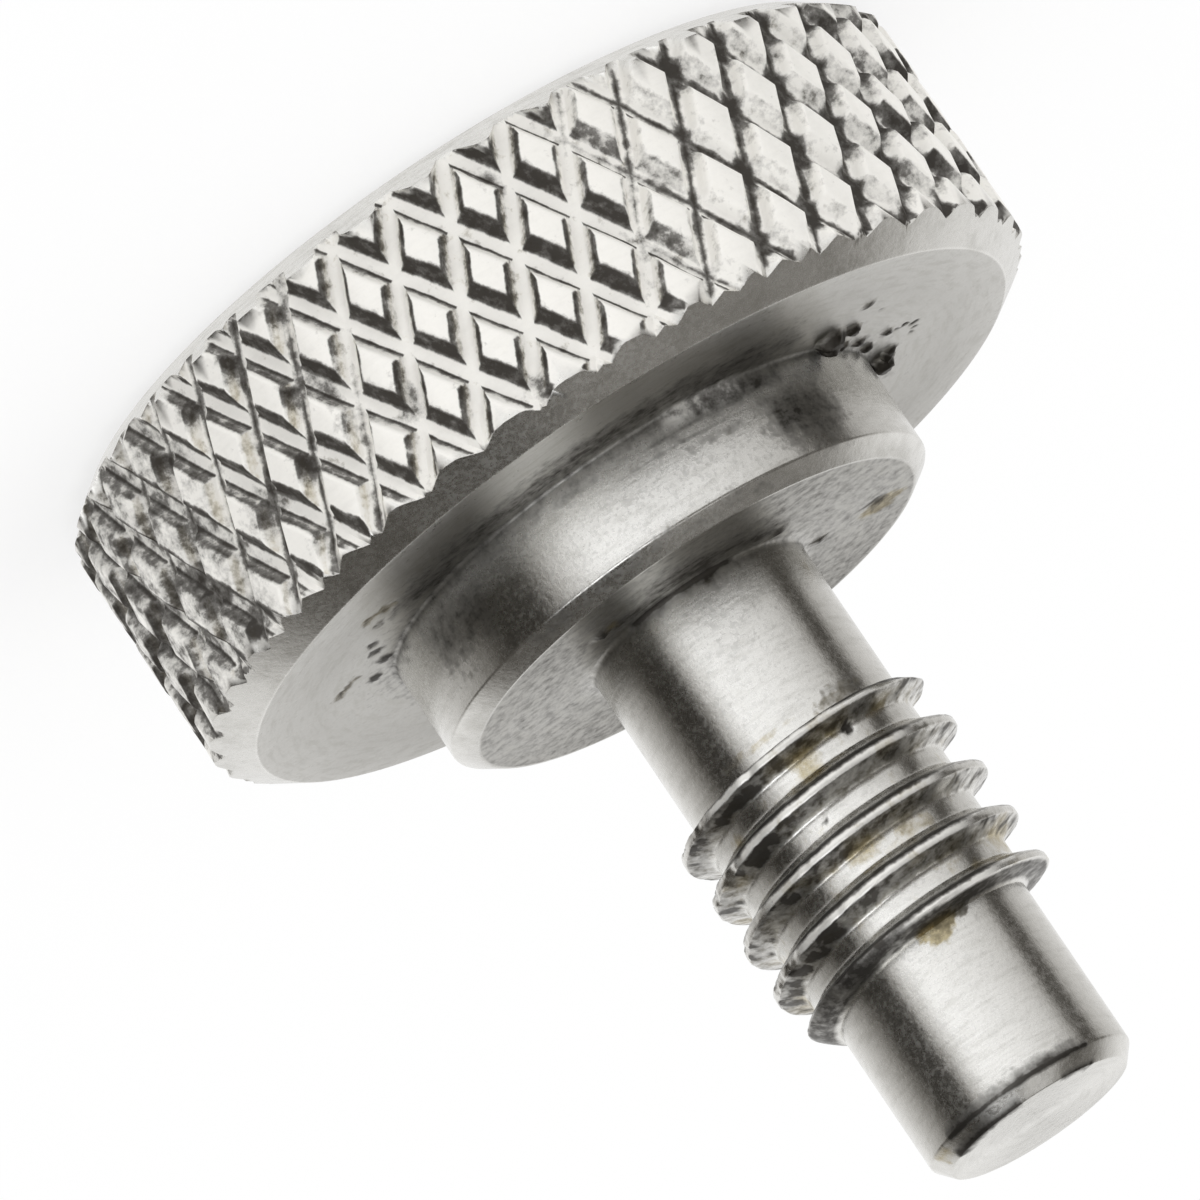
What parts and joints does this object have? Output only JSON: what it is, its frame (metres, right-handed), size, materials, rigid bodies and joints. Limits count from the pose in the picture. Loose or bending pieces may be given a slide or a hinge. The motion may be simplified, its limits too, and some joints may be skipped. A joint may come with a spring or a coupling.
{
  "type": "tension screw",
  "caption": "Knurled thumb screw in bare steel: wide disc head, collar, plain shank, short coarse right-hand thread and a plain dog point.",
  "frame": {"origin": "centre of the head's flat outer face, which the screw stands on", "axes": "+Z along the screw's axis, from the head to the tip of the dog point; +X and +Y lie in the head's outer face, with -Y towards the usual view"},
  "size_m": [0.0122, 0.0122, 0.0132],
  "materials": {
    "bare_steel": "turned bright steel, lightly worn, with dirt in the knurl and the thread"
  },
  "bodies": {
    "root": {"tension_screw": "bare_steel"}
  },
  "joints": []
}
